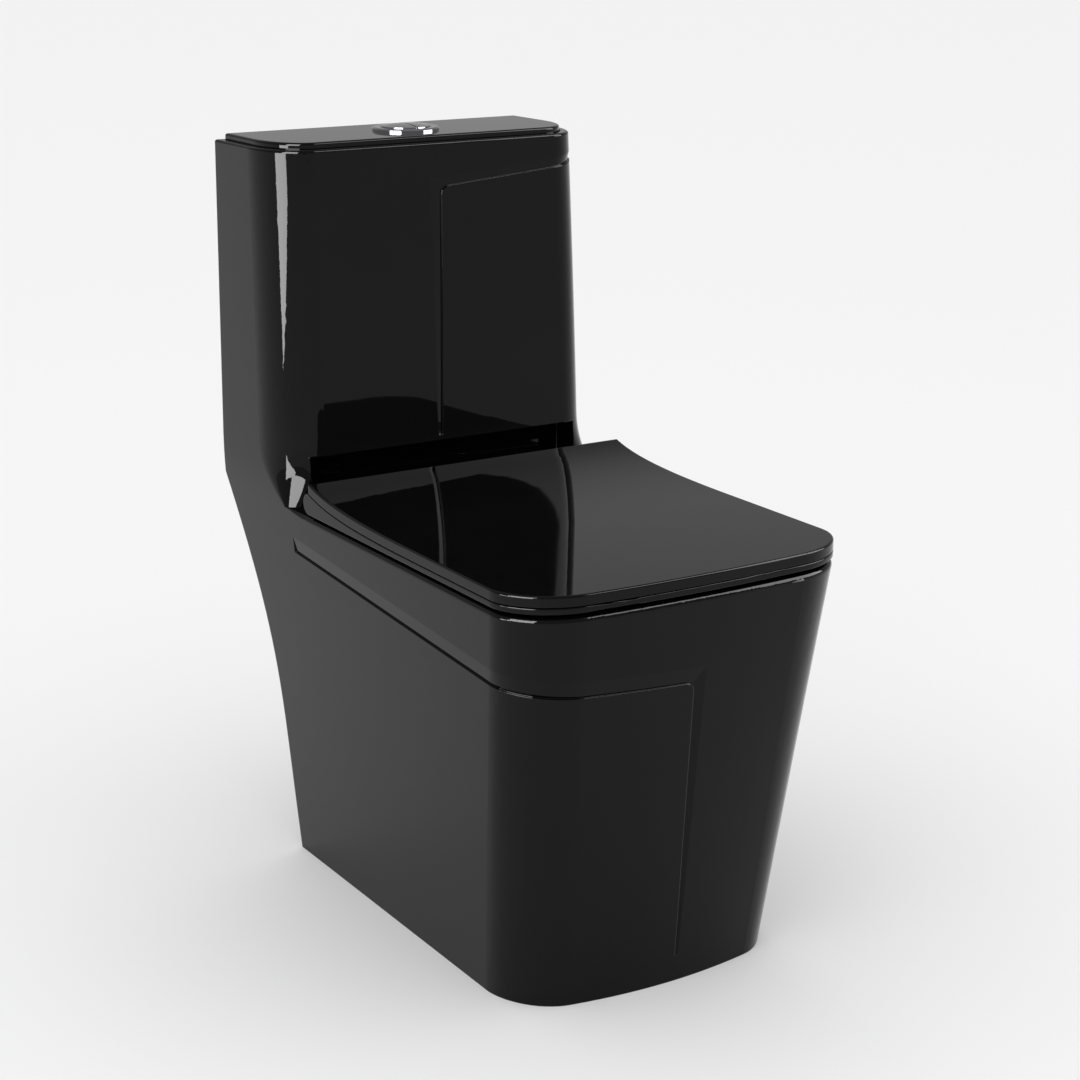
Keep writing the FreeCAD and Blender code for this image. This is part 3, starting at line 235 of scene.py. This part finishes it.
def dress(mesh, material):
    """Gives the mesh its material, and smooth faces between sharp edges."""
    mesh.materials.clear()
    mesh.materials.append(material)
    mesh.polygons.foreach_set("use_smooth", [True] * len(mesh.polygons))
    mesh.set_sharp_from_angle(angle=SMOOTH_ANGLE)


for name, node in frame["nodes"].items():
    dress(node.data, MATERIALS[SLOTS[name]])


# -------------------------------------------------------------------------------------------- button springs
def helix_mesh(name, foot, radius, height):
    """A wire wound upwards from the foot, on a vertical axis, with flat ends."""
    up = Vector((0, 0, 1))
    steps = SPRING_TURNS * STEPS_A_TURN
    points = []
    for step in range(steps + 1):
        turn = 2 * math.pi * step / STEPS_A_TURN
        outward = Vector((math.cos(turn), math.sin(turn), 0))
        centre = foot + height * step / steps * up + radius * outward
        for side in range(WIRE_SIDES):
            around = 2 * math.pi * side / WIRE_SIDES
            points.append(centre + SPRING_WIRE * (math.cos(around) * outward + math.sin(around) * up))

    faces = []
    for step in range(steps):
        for side in range(WIRE_SIDES):
            first = step * WIRE_SIDES + side
            second = step * WIRE_SIDES + (side + 1) % WIRE_SIDES
            faces.append((first, second, second + WIRE_SIDES, first + WIRE_SIDES))
    faces.append(range(WIRE_SIDES - 1, -1, -1))
    faces.append(range(steps * WIRE_SIDES, (steps + 1) * WIRE_SIDES))

    mesh = bpy.data.meshes.new(name)
    mesh.from_pydata(points, [], faces)
    return mesh


def coil_spring(name, node):
    """A helical spring in the CAD spring's place, carried with the lid."""
    low, high = (Vector(corner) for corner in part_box(node))
    length = high.z - low.z
    base = Vector(((low.x + high.x) / 2, (low.y + high.y) / 2, low.z))
    foot = base + Vector((0, 0, SPRING_WIRE))
    mesh = helix_mesh(name, foot, (high.x - low.x) / 2 - SPRING_WIRE, length - 2 * SPRING_WIRE)
    dress(mesh, MATERIALS[SLOTS[node]])
    spring = bpy.data.objects.new(name, mesh)
    bpy.context.scene.collection.objects.link(spring)
    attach(spring, "lid")
    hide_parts(node)
    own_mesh(spring)


coil_spring("half_button_coil", "half_button_spring")
coil_spring("full_button_coil", "full_button_spring")


# ------------------------------------------------------------------------------------- floor, lights, camera
def stage_mesh(name, corners, material):
    """A mesh of one face through the corners, linked into the scene."""
    mesh = bpy.data.meshes.new(name)
    mesh.from_pydata(corners, [], [range(len(corners))])
    mesh.materials.append(material)
    made = bpy.data.objects.new(name, mesh)
    bpy.context.scene.collection.objects.link(made)
    return made


def glowing(name, brightness):
    """A material that gives off white light."""
    glow = bpy.data.materials.new(name)
    glow.use_nodes = True
    tree = glow.node_tree
    tree.nodes.clear()
    shine = tree.nodes.new("ShaderNodeEmission")
    shine.inputs["Strength"].default_value = brightness
    output = tree.nodes.new("ShaderNodeOutputMaterial")
    tree.links.new(shine.outputs["Emission"], output.inputs["Surface"])
    return glow


def softbox(name, corners, brightness):
    """A bright panel between corners in space. Only polished surfaces show it."""
    panel = stage_mesh(name, corners, glowing(name, brightness))
    panel.visible_camera = False
    panel.visible_diffuse = False
    panel.visible_shadow = False


floor_material, _, floor_shader = new_material("floor", Roughness=0.9)
floor_shader.inputs["Base Color"].default_value = grey(FLOOR_GREY)
floor_corners = [(FLOOR_HALF * x, FLOOR_HALF * y, 0) for x, y in ((-1, -1), (1, -1), (1, 1), (-1, 1))]
stage_mesh("floor", floor_corners, floor_material)

world = bpy.data.worlds.new("world")
world.use_nodes = True
world.node_tree.nodes["Background"].inputs["Color"].default_value = (1, 1, 1, 1)
world.node_tree.nodes["Background"].inputs["Strength"].default_value = WORLD_LIGHT
bpy.context.scene.world = world
bpy.context.scene.view_settings.view_transform = "Standard"

daylight = bpy.data.lights.new("daylight", "SUN")
daylight.energy = SUN_LIGHT
daylight.angle = math.radians(SUN_WIDTH)
ceiling = bpy.data.objects.new("daylight", daylight)
ceiling.rotation_euler = (math.radians(SUN_TILT), math.radians(-SUN_TILT), 0)
ceiling.visible_glossy = False
bpy.context.scene.collection.objects.link(ceiling)

left_strip = [(-2.07, 0.45, 0.22), (-2.07, -0.35, 0.6), (-2.07, -0.35, 0.72), (-2.07, 0.45, 0.72)]
key = [(-2.66, -0.1, 0.75), (-2.09, -1.89, 0.75), (-1.5, -1.5, 2.4), (-2.1, -0.1, 2.4)]
front_right = [(1.21, -2.48, 2.15), (1.55, -1.94, 2.15), (1.55, -1.94, 0.85),
               (2.49, -0.46, 0.85), (2.49, -0.46, 3.4), (1.21, -2.48, 3.4)]
softbox("left_strip", left_strip, LEFT_LIGHT)
softbox("key", key, LEFT_LIGHT)
softbox("front_right", front_right, RIGHT_LIGHT)

camera_data = bpy.data.cameras.new("camera")
camera_data.lens = CAMERA_LENS
camera_data.sensor_width = CAMERA_SENSOR
camera = bpy.data.objects.new("camera", camera_data)
camera.matrix_world = (
    Matrix.Translation(CAMERA_PLACE)
    @ Matrix.Rotation(math.radians(-CAMERA_AZIMUTH), 4, "Z")
    @ Matrix.Rotation(math.radians(90 - CAMERA_PITCH), 4, "X")
    @ Matrix.Rotation(math.radians(CAMERA_ROLL), 4, "Z")
)
bpy.context.scene.collection.objects.link(camera)
bpy.context.scene.camera = camera
